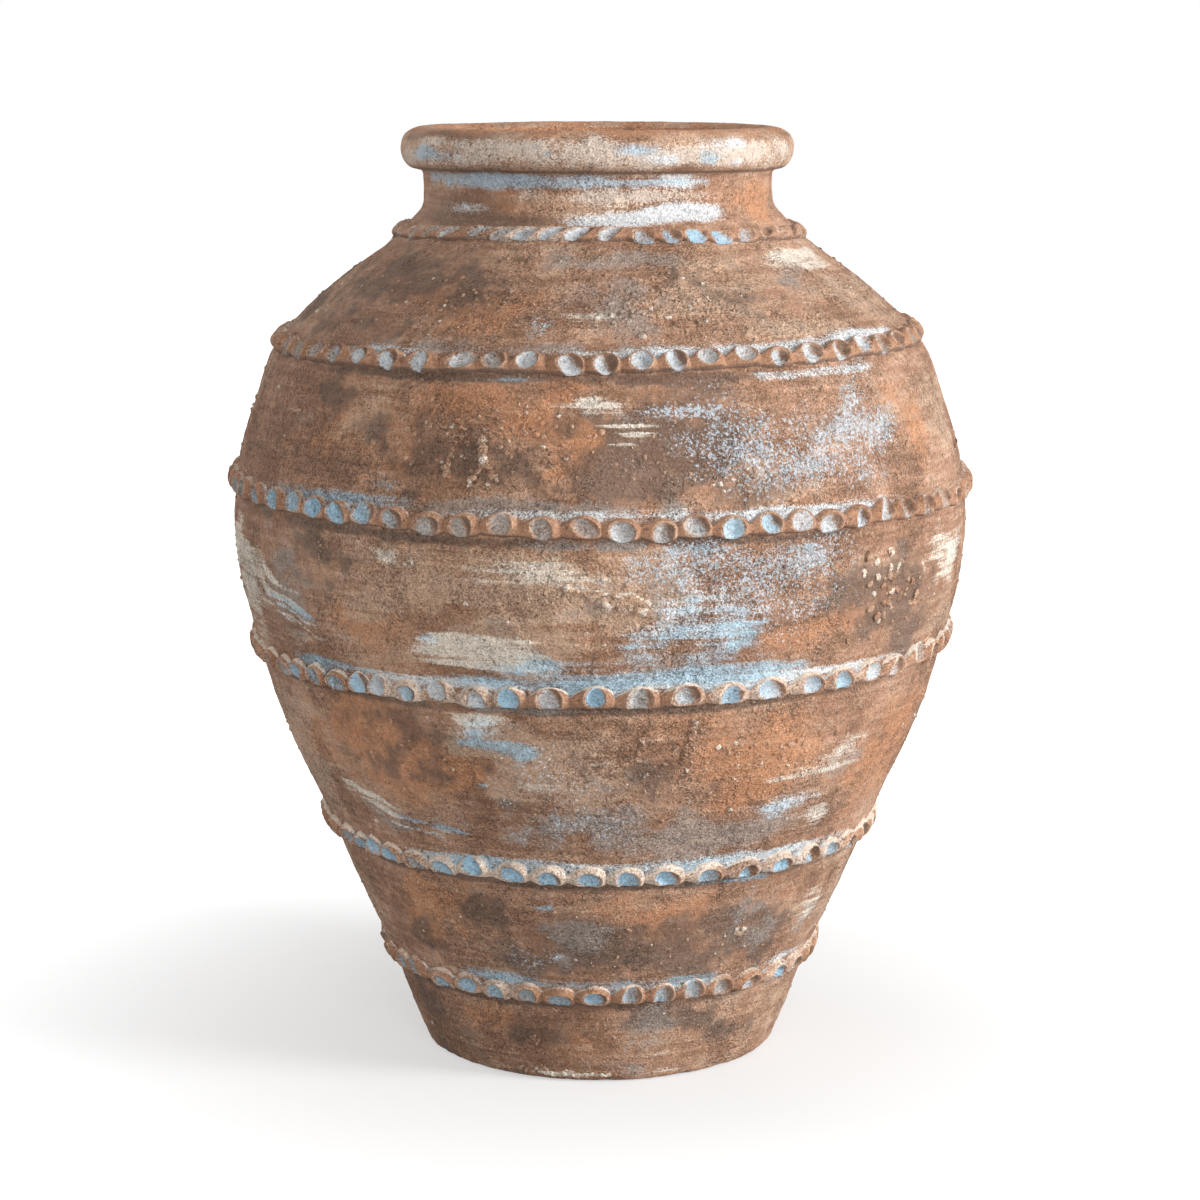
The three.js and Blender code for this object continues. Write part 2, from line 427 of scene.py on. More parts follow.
pressed = {
    # the fingers leave the bands smooth, and the wash on them thins out softly
    **clay,
    "bump": 0.0005, "smoothest": 0.7, "shade": 0.40,
    "washes": {
        **clay["washes"],
        "orange": ((0.365, 0.190, 0.112, 1), {"blotch": 0.7, "grain": 0.3}, 0.46, 0.27, 0.66, 0.02),
        "dark": ((0.115, 0.080, 0.064, 1), {"blotch": 0.6, "grain": 0.4}, 0.50, 0.32, 0.70, 0.02),
        "grey": ((0.350, 0.330, 0.308, 1), {"blotch": 0.6, "grain": 0.4}, 0.54, 0.34, 0.74, 0.00),
        "cream": ((0.700, 0.610, 0.520, 1), {"blotch": 0.6, "grain": 0.4}, 0.54, 0.30, 0.80, 0.00),
        "white": ((0.520, 0.560, 0.590, 1), {"blotch": 0.6, "grain": 0.4}, 0.60, 0.34, 0.76, -0.04),
        "blue": ((0.270, 0.460, 0.590, 1), {"blotch": 0.6, "grain": 0.4}, 0.60, 0.34, 0.78, -0.04),
    },
}
bandClay = makeClay("bandClay", pressed)
print("clay finishes mixed")


def finishPiece(piece, node, material):
    points = pointsOf(piece)
    points[:, 0] += jar["lean"] * stretch(points[:, 2], *jar["leanHeights"])
    placePoints(piece, points)
    piece.data.materials.clear()
    piece.data.materials.append(material)
    bpy.ops.object.select_all(action="DESELECT")
    piece.select_set(True)
    bpy.context.view_layer.objects.active = piece
    bpy.ops.object.shade_smooth_by_angle(angle=math.radians(jar["sharpEdge"]))
    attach(piece, "root")
    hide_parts(node)
    print(piece.name, "done,", len(piece.data.polygons), "faces")


grit = {
    "flat": 0.7,  # height of a grain as a share of its width
    "uneven": (0.7, 1.3),
    "dents": 0.12,
    "drop": 0.01,  # distance from which a grain is set on the face
    "slopeReach": 0.002,
    "darkCarried": 0.3,  # share of the wall's dark paint beside it that a grain carries: dirt, and the painted shadow lines under the bands
    "dry": 0.55, "dryShare": 0.7,  # strength of the tan on dry grains, and how many are dry
    "pale": 0.5, "paleShare": 0.15,
    "spread": 0.5, "sizes": (0.5, 1.3),
    "stringSlip": 0.4, "stringSpread": (0.25, 0.0005), "stringSizes": (0.6, 1.3),
}


def addGrit(piece, places, wallCover):
    # grains of coarse sand stuck on the skin: places are (angle, height, size)
    if not places:
        return
    bpy.ops.object.select_all(action="DESELECT")
    bpy.ops.mesh.primitive_ico_sphere_add(subdivisions=1, radius=1)
    grain = bpy.context.object
    shape = pointsOf(grain)
    faces = np.array([list(face.vertices) for face in grain.data.polygons])
    corners, skin = [], []
    drop = grit["drop"]
    for angle, height, size in places:
        up, out = faceDirections(height, grit["slopeReach"])
        here = np.array([angle])
        start = fromPolar(here, faceRadius(height) + drop * out[:1], height + drop * out[1:])[0]
        inward = fromPolar(here, -out[:1], -out[1:])[0]
        found, spot, _, face = piece.ray_cast(start.tolist(), inward.tolist())
        if not found:
            continue
        skin.append(piece.data.polygons[face].vertices[0])
        stone = shape * dice.uniform(*grit["uneven"], 3) + dice.normal(0, grit["dents"], shape.shape)
        turned = dice.uniform(0, 2 * math.pi)
        side = size * (stone[:, 0] * math.cos(turned) - stone[:, 1] * math.sin(turned))
        rise = size * (stone[:, 0] * math.sin(turned) + stone[:, 1] * math.cos(turned))
        proud = size * grit["flat"] * stone[:, 2]
        radius = math.hypot(spot.x, spot.y)
        radii = radius + up[0] * rise + out[0] * proud
        heights = spot.z + up[1] * rise + out[1] * proud
        corners.append(fromPolar(angle + np.degrees(side / radius), radii, heights))
    offsets = np.arange(len(corners))[:, None, None] * len(shape)
    faces = (faces[None] + offsets).reshape(-1, 3)
    grain.data.clear_geometry()
    grain.data.from_pydata(np.concatenate(corners).tolist(), [], faces.tolist())
    cover = {layer: np.repeat(wallCover[layer][skin], len(shape)) for layer in colourLayers}
    tint = np.repeat(dice.uniform(0, 1, len(corners)), len(shape))
    # a grain carries part of the dark beside it, both dirt and painted shadow
    cover["dark"] *= grit["darkCarried"]
    cover["tan"] = np.maximum(cover["tan"], grit["dry"] * (tint > 1 - grit["dryShare"]))
    cover["cream"] = np.maximum(cover["cream"], grit["pale"] * (tint > 1 - grit["paleShare"]))
    paint(grain, cover)
    piece.select_set(True)
    bpy.context.view_layer.objects.active = piece
    bpy.ops.object.join()


def gritPlaces(wall, low, high):
    # patches: angle, height, half width, half height, count, size
    # strings: angle and height of one end, then of the other, count, size
    places = []
    for angle, height, halfWidth, halfHeight, count, size in wall["grit"]:
        spots = dice.normal(0, grit["spread"], (count, 2))
        for across, rise in spots:
            z = np.clip(height + halfHeight * rise, low, high)
            places.append((angle + halfWidth * across, z, size * dice.uniform(*grit["sizes"])))
    slip = grit["stringSlip"]
    for angle, height, endAngle, endHeight, count, size in wall["strings"]:
        for t in (np.arange(count) + dice.uniform(-slip, slip, count)) / count:
            spot = np.array([angle, height]) * (1 - t) + np.array([endAngle, endHeight]) * t
            spot += dice.normal(0, 1, 2) * grit["stringSpread"]
            places.append((*spot, size * dice.uniform(*grit["stringSizes"])))
    return places


def wallSection(low, high):
    # up the outside, in across the upper seam, down the inside, out across the lower seam
    rows = round(math.hypot(high - low, faceRadius(high) - faceRadius(low)) / jar["spacing"])
    outside = [(faceRadius(z), z) for z in np.linspace(low, high, rows + 1)]
    inside = []
    for z in np.linspace(high, low, jar["insideRows"]):
        up, out = faceDirections(z, jar["slopeReach"])
        ripple = jar["fingerRipple"] * math.sin(2 * math.pi * z / jar["rippleStep"])
        inside.append((faceRadius(z) - (jar["wall"] + ripple) * out[0], z - jar["wall"] * out[1]))
    return outside + inside


def bareInside(cover, outside, orange):
    # no wash gets inside: the clay there is plain orange
    for layer in colourLayers:
        cover[layer] = np.where(outside, cover[layer], orange if layer == "orange" else 0)


def raiseWall(wall):
    low, high = wall["low"], wall["high"]
    piece = drawSection(wall["name"], wallSection(low, high))
    columns = round(2 * math.pi * max(faceRadius(low), faceRadius(high)) / jar["spacing"])
    turnOnWheel(piece, columns)
    points = pointsOf(piece)
    angles, radii = polar(points)
    heights = points[:, 2]
    outside = radii > faceRadius(np.clip(heights, low, high)) - jar["skin"]
    fade = stretch(np.minimum(heights - low, high - heights), *jar["seamFade"])
    roughen(piece, np.where(outside, fade, jar["insideRough"]), wall["surface"])
    cover = coverOf(angles, heights, wall["marks"])
    bareInside(cover, outside, jar["insideOrange"])
    paint(piece, cover)
    addGrit(piece, gritPlaces(wall, low + jar["gritMargin"], high - jar["gritMargin"]), cover)
    finishPiece(piece, wall["node"], wall["finish"])


plainWall = {
    "slot": "terracotta", "finish": terracotta, "grit": [], "strings": [],
    "surface": [(0.060, 0.0026), (0.016, 0.0011), (0.0045, 0.0007)],
}

footWall = {
    **plainWall,
    "name": "footWall", "node": "foot_wall", "low": 0.015, "high": 0.0635,
    # colour layer, angle, height, half width in degrees, half height, strength, and for some a slope
    # in metres to a degree and how crisp the edge is
    "marks": [
        ("dark", -58, 0.036, 16, 0.030, 0.50),
        ("orange", -34, 0.042, 10, 0.016, 0.75),
        ("dark", -21, 0.034, 9, 0.018, 0.56),
        ("dark", -6, 0.050, 8, 0.010, 0.50),
        ("orange", -5, 0.026, 6, 0.008, 0.80),
        ("tan", -5, 0.026, 5, 0.007, 0.55),
        ("grey", 12, 0.038, 11, 0.020, 0.46),
        ("dark", 14, 0.048, 10, 0.012, 0.62),
        ("tan", 14, 0.028, 8, 0.012, 0.60),
        ("cream", 20, 0.021, 6, 0.006, 0.45),
        ("dark", 26, 0.040, 5, 0.016, 0.66),
        ("tan", 36, 0.042, 9, 0.014, 0.50),
        ("dark", 42, 0.028, 12, 0.012, 0.72),
        ("tan", 66, 0.038, 18, 0.022, 0.36),
        # painted shadow: a dark line on the wall right under the foot band
        ("dark", -10, 0.0550, 60, 0.0030, 0.80),
    ],
    "grit": [
        (0, 0.035, 180, 0.024, 150, 0.0010),
    ],
}
raiseWall(footWall)

lowerWall = {
    **plainWall,
    "name": "lowerWall", "node": "lower_wall", "low": 0.0635, "high": 0.1485,
    "marks": [
        ("tan", -70, 0.105, 12, 0.034, 0.45),
        ("orange", -40, 0.114, 15, 0.030, 0.85),
        ("dark", -44, 0.092, 8, 0.014, 0.60),
        ("dark", -24, 0.118, 8, 0.012, 0.75),
        ("dark", -20, 0.090, 9, 0.016, 0.60),
        ("fleck", -17, 0.092, 7, 0.014, 0.34),
        ("white", -13, 0.091, 4, 0.004, 0.62),
        ("blue", -10, 0.125, 4, 0.006, 0.62),
        ("grey", -7, 0.106, 8, 0.024, 0.52),
        ("dark", -6, 0.102, 7, 0.022, 0.76),
        ("orange", 13, 0.118, 13, 0.022, 0.80),
        ("dark", 14, 0.094, 20, 0.024, 0.76),
        ("blue", 32, 0.110, 2.5, 0.005, 0.50),
        ("grey", 36, 0.104, 7, 0.024, 0.58),
        ("dark", 39, 0.100, 9, 0.026, 0.84),
        ("tan", 47, 0.112, 5, 0.026, 0.50),
        ("cream", 55, 0.102, 7, 0.024, 0.46),
        ("grey", 56, 0.096, 7, 0.020, 0.66),
        ("orange", 46, 0.122, 8, 0.016, 0.55),
        ("tan", 70, 0.105, 12, 0.034, 0.60),
        ("white", -25, 0.0705, 7, 0.006, 0.75),
        ("blue", -27, 0.0720, 9, 0.005, 0.65),
        ("white", 54, 0.0715, 13, 0.005, 0.75),
        ("blue", 10, 0.0700, 50, 0.005, 0.65),
        # painted shadow: a dark line on the wall right under the lower band
        ("dark", 0, 0.1405, 70, 0.003, 0.90, -0.00002),
        ("blue", 30, 0.1385, 12, 0.004, 0.60),
    ],
    "grit": [
        (0, 0.105, 180, 0.042, 260, 0.0011),
        (33, 0.100, 3, 0.004, 9, 0.0022),
    ],
}
raiseWall(lowerWall)

lowerBellyWall = {
    **plainWall,
    "name": "lowerBellyWall", "node": "lower_belly_wall", "low": 0.1485, "high": 0.2645,
    "marks": [
        ("orange", -57, 0.212, 9, 0.026, 0.75),
        ("tan", -66, 0.205, 11, 0.050, 0.86),
        ("orange", -36, 0.228, 14.5, 0.028, 0.95, -0.0008, 3.0),
        ("dark", -36, 0.228, 14, 0.027, 0.38, -0.0008, 3.0),
        ("dark", -25, 0.236, 4, 0.012, 0.45, -0.0025),
        ("dark", -38, 0.243, 12, 0.008, 0.45),
        ("orange", -34, 0.205, 12, 0.018, 0.60),
        ("tan", -17, 0.230, 6, 0.026, 0.90, -0.0006, 2.5),
        ("white", -17, 0.242, 5, 0.012, 0.72),
        ("blue", -16.5, 0.231, 4.5, 0.013, 0.82),
        ("cream", -18, 0.248, 6, 0.006, 0.70),
        ("tan", -8, 0.232, 10, 0.020, 0.74),
        ("tan", -6, 0.202, 14, 0.018, 0.66),
        ("fleck", -9, 0.215, 13, 0.042, 0.28),
        ("dark", -14, 0.196, 12, 0.010, 0.42),
        ("cream", -8, 0.206, 9, 0.005, 0.42),
        ("cream", 2, 0.226, 10, 0.016, 0.32),
        ("blue", -21, 0.206, 2.5, 0.003, 0.70),
        ("orange", 24, 0.228, 20, 0.032, 0.70),
        ("dark", 9, 0.205, 8, 0.022, 0.45),
        ("orange", 30, 0.205, 11, 0.016, 0.60),
        ("cream", 37, 0.208, 13, 0.006, 0.50),
        ("cream", 45, 0.221, 6, 0.010, 0.68),
        ("grey", 46, 0.214, 6, 0.016, 0.55),
        ("white", 37, 0.187, 11, 0.008, 0.66),
        ("blue", 36, 0.186, 12, 0.008, 0.50),
        ("cream", 45, 0.176, 5, 0.013, 0.68),
        ("grey", 26, 0.172, 18, 0.012, 0.75),
        ("orange", 62, 0.205, 16, 0.050, 0.70),
        ("grey", -40, 0.178, 14, 0.014, 0.56),
        ("cream", -47, 0.187, 9, 0.0026, 0.80, -0.0008),
        ("cream", -43, 0.178, 10, 0.0024, 0.75, -0.0008),
        ("white", -41, 0.171, 9, 0.0022, 0.70, -0.0008),
        ("blue", -35, 0.174, 9, 0.0034, 0.75, -0.0006),
        ("grey", 0, 0.178, 20, 0.018, 0.72),
        ("fleck", 0, 0.176, 18, 0.015, 0.26),
        ("orange", 8, 0.168, 7, 0.008, 0.50),
        ("blue", 28, 0.1545, 22, 0.0055, 0.62),
        ("white", 36, 0.1535, 22, 0.0052, 0.95),
        ("blue", -18, 0.1545, 34, 0.0045, 0.56),
        ("white", -14, 0.1535, 36, 0.0045, 0.90),
        # painted shadow: dark and grey lines on the wall right under the lower belly band
        ("dark", 6, 0.2565, 44, 0.0026, 0.95, 0.00005),
        ("grey", -10, 0.2560, 16, 0.0026, 0.70, 0.00005),
        ("dark", -45, 0.2565, 18, 0.003, 0.80, 0.00005),
    ],
    "grit": [
        (0, 0.205, 180, 0.055, 330, 0.0013),
        (26, 0.225, 18, 0.026, 80, 0.0015),
        (-8, 0.210, 12, 0.030, 80, 0.0010),
    ],
    "strings": [
        (15, 0.250, 13.5, 0.222, 22, 0.0016),
        (7, 0.244, 6, 0.228, 10, 0.0015),
        (23, 0.238, 23, 0.222, 8, 0.0009),
    ],
}
raiseWall(lowerBellyWall)

bellyWall = {
    **plainWall,
    "name": "bellyWall", "node": "belly_wall", "low": 0.2645, "high": 0.364,
    "marks": [
        ("cream", -73, 0.312, 11, 0.042, 0.66),
        ("grey", -55, 0.312, 7, 0.036, 0.55),
        ("cream", -60, 0.318, 7, 0.0024, 0.80, -0.0011),
        ("cream", -57, 0.306, 8, 0.0026, 0.85, -0.0011),
        ("white", -55, 0.299, 8, 0.0020, 0.75, -0.0011),
        ("blue", -52, 0.300, 8, 0.0028, 0.75, -0.0011),
        ("cream", -53, 0.291, 8, 0.0022, 0.70, -0.0011),
        ("dark", -46, 0.343, 6, 0.010, 0.80),
        ("dark", -50, 0.318, 6, 0.018, 0.50),
        ("orange", -37, 0.306, 8, 0.026, 0.60),
        ("tan", -34, 0.325, 6, 0.026, 0.55),
        ("cream", -36, 0.343, 3, 0.006, 0.60),
        ("tan", -14, 0.290, 15, 0.014, 0.95, 0, 3.0),
        ("cream", -20, 0.2970, 11, 0.0046, 0.74, 0, 2.5),
        ("cream", -17, 0.2895, 13, 0.0040, 0.74, 0, 2.5),
        ("cream", -14, 0.2825, 12, 0.0034, 0.72, 0, 2.5),
        ("grey", -15, 0.293, 11, 0.0016, 0.60),
        ("blue", -27, 0.298, 5, 0.0022, 0.75),
        ("white", -25, 0.296, 6, 0.006, 0.66),
        ("grey", -9, 0.286, 7, 0.008, 0.70),
        ("blue", -8, 0.289, 6, 0.005, 0.45),
        ("tan", -14, 0.326, 17, 0.020, 0.80),
        ("cream", -8, 0.338, 13, 0.010, 0.60),
        ("grey", -3, 0.314, 14, 0.016, 0.26),
        ("dark", 2.0, 0.3212, 8, 0.0009, 0.80, -0.0012),
        ("cream", 2.3, 0.3240, 8, 0.0009, 0.85, -0.0012),
        ("fleck", 12, 0.310, 14, 0.030, 0.20),
        ("fleck", 8, 0.336, 10, 0.012, 0.30),
        ("tan", 2, 0.322, 12, 0.021, 1.00),
        ("orange", 0, 0.298, 9, 0.012, 0.50),
        ("grey", 8, 0.328, 7, 0.012, 0.55),
        ("white", 16, 0.310, 12, 0.028, 0.62),
        ("blue", 17, 0.300, 13, 0.028, 0.60),
        ("blue", 22, 0.300, 3.5, 0.010, 0.55),
        ("blue", -6, 0.283, 14, 0.005, 0.50, 0.0004),
        ("fleck", 25, 0.344, 18, 0.013, 0.48),
        ("blue", 20, 0.349, 18, 0.006, 0.50),
        ("fleck", 30, 0.322, 12, 0.026, 0.32),
        ("orange", 33, 0.300, 9, 0.014, 0.60),
        ("dark", 50, 0.306, 12, 0.030, 0.80),
        ("tan", 48, 0.328, 9, 0.014, 0.52),
        ("cream", 67, 0.324, 7, 0.030, 0.60),
        ("white", 67, 0.332, 6, 0.016, 0.35),
        ("tan", 70, 0.285, 12, 0.012, 0.60),
        ("white", 22, 0.2720, 30, 0.0055, 0.95),
        ("blue", 20, 0.2765, 26, 0.0080, 0.64),
        ("blue", -2, 0.2725, 9, 0.0065, 0.95),
        ("blue", -46, 0.2705, 14, 0.0065, 0.80),
        ("white", -24, 0.2700, 18, 0.0045, 0.85),
        ("blue", -16, 0.2720, 9, 0.0050, 0.60),
        # painted shadow: dark and grey lines on the wall right under the belly band
        ("dark", -30, 0.3550, 34, 0.0034, 0.95, -0.00003),
        ("dark", 22, 0.3550, 24, 0.0026, 0.80, -0.00003),
        ("grey", -6, 0.3540, 14, 0.004, 0.70),
    ],
    "grit": [
        (0, 0.315, 180, 0.045, 280, 0.0013),
        (49, 0.318, 9, 0.026, 46, 0.0025),
        (2, 0.322, 14, 0.020, 90, 0.0011),
    ],
    "strings": [
        (-5, 0.331, 0, 0.322, 16, 0.0019),
        (0, 0.322, 9.5, 0.3135, 30, 0.0025),
        (-28, 0.346, -28.5, 0.333, 10, 0.0017),
        (-45, 0.346, -45, 0.325, 9, 0.0010),
    ],
}
raiseWall(bellyWall)

shoulderWall = {
    **plainWall,
    "name": "shoulderWall", "node": "shoulder_wall", "low": 0.364, "high": 0.4525,
    "marks": [
        ("tan", -56, 0.415, 3, 0.004, 0.60),
        ("dark", -47, 0.430, 5, 0.012, 0.66),
        ("dark", -49, 0.398, 4, 0.022, 0.50),
        ("orange", -36, 0.405, 26, 0.036, 0.58),
        ("tan", -38, 0.413, 8, 0.026, 0.55),
        ("dark", -28, 0.405, 9, 0.022, 0.42),
        ("dark", -17, 0.400, 11, 0.022, 0.52),
        ("orange", -17, 0.432, 9, 0.014, 0.70),
        ("orange", -5, 0.412, 6, 0.032, 0.90),
        ("dark", 5, 0.400, 9, 0.028, 0.84),
        ("cream", 3, 0.431, 7, 0.0055, 0.70),
        ("cream", 4, 0.4195, 6, 0.0016, 0.80),
        ("cream", 5, 0.4150, 5, 0.0014, 0.75),
        ("cream", 3, 0.4095, 5, 0.0012, 0.60),
        ("grey", 3, 0.430, 7, 0.010, 0.45),
        ("dark", 11, 0.404, 15, 0.034, 0.80),
        ("fleck", 13, 0.427, 6, 0.004, 0.50),
        ("fleck", 21, 0.408, 15, 0.034, 0.32),
        ("fleck", 28, 0.396, 13, 0.016, 0.34),
        ("orange", 33, 0.392, 4, 0.012, 0.55),
        ("fleck", 45, 0.410, 8, 0.036, 0.46),
        ("grey", 44, 0.408, 9, 0.032, 0.56),
        ("orange", 57, 0.410, 6, 0.034, 0.70),
        ("tan", 70, 0.412, 12, 0.036, 0.60),
        ("white", 28, 0.3688, 24, 0.0048, 0.90),
        ("grey", -14, 0.3735, 24, 0.0065, 0.85),
        ("white", -8, 0.3705, 18, 0.0040, 0.75),
        ("blue", -34, 0.383, 4, 0.009, 0.50),
        ("blue", -46, 0.3720, 20, 0.0060, 0.70),
        ("dark", -29, 0.379, 1.4, 0.006, 0.80),
        # painted shadow: dark lines on the wall right under the shoulder band
        ("dark", -22, 0.4445, 34, 0.003, 0.95, 0.00004),
        ("dark", 16, 0.4445, 16, 0.003, 0.80, 0.00004),
        ("blue", -14, 0.4440, 20, 0.0022, 0.45, 0.00004),
        ("white", 38, 0.4440, 20, 0.004, 0.65),
    ],
    "grit": [
        (0, 0.405, 180, 0.040, 260, 0.0013),
        (-16, 0.415, 14, 0.022, 80, 0.0015),
        (22, 0.396, 14, 0.016, 60, 0.0014),
    ],
    "strings": [
        (-22.5, 0.412, -23, 0.389, 24, 0.0019),
        (-18, 0.411, -17.5, 0.398, 18, 0.0024),
        (-17, 0.399, -19.5, 0.386, 14, 0.0019),
        (-17, 0.399, -15, 0.388, 12, 0.0019),
        (-21.5, 0.420, -21, 0.413, 7, 0.0016),
    ],
}
raiseWall(shoulderWall)

upperShoulderWall = {
    **plainWall,
    "name": "upperShoulderWall", "node": "upper_shoulder_wall", "low": 0.4525, "high": 0.516,
    "marks": [
        ("dark", -64, 0.486, 30, 0.034, 0.50),
        ("orange", -28, 0.482, 22, 0.018, 0.60),
        ("dark", -36, 0.498, 18, 0.014, 0.50),
        ("grey", 12, 0.507, 10, 0.006, 0.75),
        ("dark", 14, 0.498, 3, 0.006, 0.60),
        ("grey", -6, 0.505, 8, 0.006, 0.65),
        ("grey", 2, 0.482, 14, 0.014, 0.60),
        ("cream", -2, 0.476, 9, 0.006, 0.44),
        ("orange", 13, 0.481, 8, 0.008, 0.50),
        ("tan", 16, 0.486, 9, 0.010, 0.62),
        ("tan", 30, 0.486, 14, 0.012, 0.40),
        ("dark", 36, 0.490, 16, 0.016, 0.34),
        ("cream", 60, 0.503, 20, 0.008, 0.58),
        ("grey", 56, 0.497, 14, 0.008, 0.50),
        ("tan", 66, 0.480, 20, 0.020, 0.58),
        ("fleck", -11, 0.469, 5, 0.008, 0.48),
        ("white", -11, 0.467, 5, 0.004, 0.45),
        ("white", -42, 0.4560, 16, 0.0045, 0.80),
        ("grey", -14, 0.4590, 26, 0.0050, 0.75),
        ("tan", 38, 0.467, 14, 0.006, 0.60),
        ("white", 20, 0.4585, 36, 0.0042, 0.78),
        ("white", 55, 0.4610, 13, 0.0050, 0.75),
    ],
    "grit": [
        (0, 0.485, 180, 0.030, 260, 0.0013),
        (12, 0.484, 18, 0.016, 90, 0.0014),
        (9, 0.478, 13, 0.010, 40, 0.0021),
        (-30, 0.475, 20, 0.014, 60, 0.0012),
    ],
}
raiseWall(upperShoulderWall)

neck = {
    **plainWall,
    "name": "neckWall", "node": "neck", "slot": "limewashed_clay", "finish": limewashedClay,
    "low": 0.516, "high": 0.5515, "surface": [(0.060, 0.0014), (0.014, 0.0006), (0.0042, 0.0004)],
    "marks": [
        ("dark", -50, 0.534, 28, 0.014, 0.64),
        ("dark", -40, 0.5270, 32, 0.0035, 0.74),
        ("orange", -24, 0.5380, 20, 0.008, 0.70),
        ("tan", -8, 0.5380, 18, 0.010, 0.70),
        ("cream", 10, 0.5420, 30, 0.006, 0.72),
        ("orange", 62, 0.5360, 18, 0.014, 0.95),
        ("white", -44, 0.5340, 9, 0.004, 0.45),
        ("blue", -30, 0.5505, 40, 0.0058, 0.90),
        ("white", -50, 0.5480, 18, 0.0040, 0.50),
        ("blue", 22, 0.5500, 22, 0.0030, 0.60),
        ("white", 26, 0.5490, 14, 0.0055, 0.80),
        ("white", 27, 0.5325, 17, 0.0058, 1.00),
        ("white", 12, 0.5295, 14, 0.0040, 0.80),
        ("white", -2, 0.5270, 14, 0.0030, 0.75),
        ("cream", 0, 0.5300, 18, 0.0040, 0.60),
    ],
}
raiseWall(neck)

rim = {
    "name": "rim", "node": "rim",
    # outline from under the lip, round its outside, over the crest and down into the mouth
    "outline": [
        (0.1082, 0.5515), (0.1092, 0.5535), (0.1112, 0.5548), (0.1152, 0.5560), (0.1186, 0.5587),
        (0.1207, 0.5622), (0.1216, 0.5660), (0.1214, 0.5700), (0.1194, 0.5750), (0.1156, 0.5778),
        (0.1060, 0.5800), (0.0990, 0.5772), (0.0957, 0.5710), (0.0950, 0.5640), (0.0952, 0.5515),
    ],
    "frontLift": 0.0009,  # the roll is a little higher under its front and back than under its sides
    "liftRadii": (0.1085, 0.1120), "liftHeights": (0.570, 0.556),
    "rows": 62,
    "columns": 620,
    "roughHeights": (0.5515, 0.556),
    "mouth": 0.0985, "mouthOrange": 0.6,
    "surface": [(0.070, 0.0010), (0.016, 0.0005), (0.0045, 0.0004)],
    "marks": [
        ("tan", 0, 0.5660, 400, 0.011, 0.62),
        ("cream", -72, 0.5620, 14, 0.0050, 0.70),
        ("cream", -54, 0.5725, 12, 0.0035, 0.85),
        ("cream", -46, 0.5610, 14, 0.0050, 0.60),
        ("cream", -33, 0.5685, 8, 0.0070, 0.80),
        ("cream", -20, 0.5700, 10, 0.0060, 0.80),
        ("cream", -12, 0.5620, 16, 0.0050, 0.50),
        ("cream", 0, 0.5695, 9, 0.0080, 0.90),
        ("cream", 18, 0.5640, 10, 0.0070, 0.80),
        ("white", 18, 0.5635, 4, 0.0035, 0.75),
        ("cream", 32, 0.5650, 9, 0.0080, 0.85),
        ("white", 38, 0.5720, 10, 0.0040, 0.60),
        ("cream", 50, 0.5660, 10, 0.0090, 0.85),
        ("white", 42, 0.5605, 4, 0.0030, 0.70),
        ("cream", 69, 0.5670, 9, 0.0080, 0.85),
        ("orange", 24, 0.5725, 6, 0.0040, 0.80),
        ("orange", 39, 0.5665, 4, 0.0035, 0.70),
        ("orange", -6, 0.5620, 3, 0.0040, 0.60),
        ("orange", 60, 0.5640, 4, 0.0060, 0.60),
        ("dark", -41, 0.5715, 4, 0.0045, 0.55),
        ("dark", -70, 0.5740, 8, 0.0025, 0.60),
        ("dark", -8, 0.5720, 2.5, 0.0030, 0.45),
        ("blue", -55, 0.5660, 11, 0.0055, 0.95),
        ("blue", -22, 0.5705, 9, 0.0030, 0.35),
        ("blue", -13.5, 0.5670, 1.8, 0.0020, 0.70),
        ("blue", 12, 0.5695, 7, 0.0045, 0.75),
        ("white", 31, 0.5635, 4.5, 0.0050, 0.70),
        ("blue", 31, 0.5635, 4, 0.0050, 0.75),
        ("orange", 0, 0.5795, 400, 0.0030, 0.85),
        ("dark", -48, 0.5775, 34, 0.0026, 0.55),
        # painted shadow: a dark line right under the roll of the rim
        ("dark", 0, 0.5556, 400, 0.0010, 0.70),
        ("blue", -32, 0.5525, 40, 0.0024, 0.90),
        ("white", 24, 0.5525, 14, 0.0024, 0.80),
        # painted shadow: darker spots under the roll of the rim
        ("dark", -15, 0.5580, 30, 0.0016, 0.40),
        ("dark", 27, 0.5585, 8, 0.0012, 0.55),
    ],
}


def smoothLoop(outline, count):
    # even steps along a smooth curve through the outline's points
    points = np.array(outline)
    along = np.concatenate([[0], np.cumsum(np.linalg.norm(np.diff(points, axis=0), axis=1))])
    steps = np.linspace(0, along[-1], count)
    return list(zip(*(curveThrough(along, values, steps) for values in points.T)))


def rollRim():
    piece = drawSection(rim["name"], smoothLoop(rim["outline"], rim["rows"]))
    turnOnWheel(piece, rim["columns"])
    points = pointsOf(piece)
    angles, radii = polar(points)
    under = stretch(radii, *rim["liftRadii"]) * stretch(points[:, 2], *rim["liftHeights"])
    points[:, 2] += rim["frontLift"] * np.cos(np.radians(2 * angles)) * under
    placePoints(piece, points)
    roughen(piece, stretch(points[:, 2], *rim["roughHeights"]), rim["surface"])
    cover = coverOf(angles, points[:, 2], rim["marks"])
    bareInside(cover, radii >= rim["mouth"], rim["mouthOrange"])
    paint(piece, cover)
    finishPiece(piece, rim["node"], limewashedClay)


rollRim()

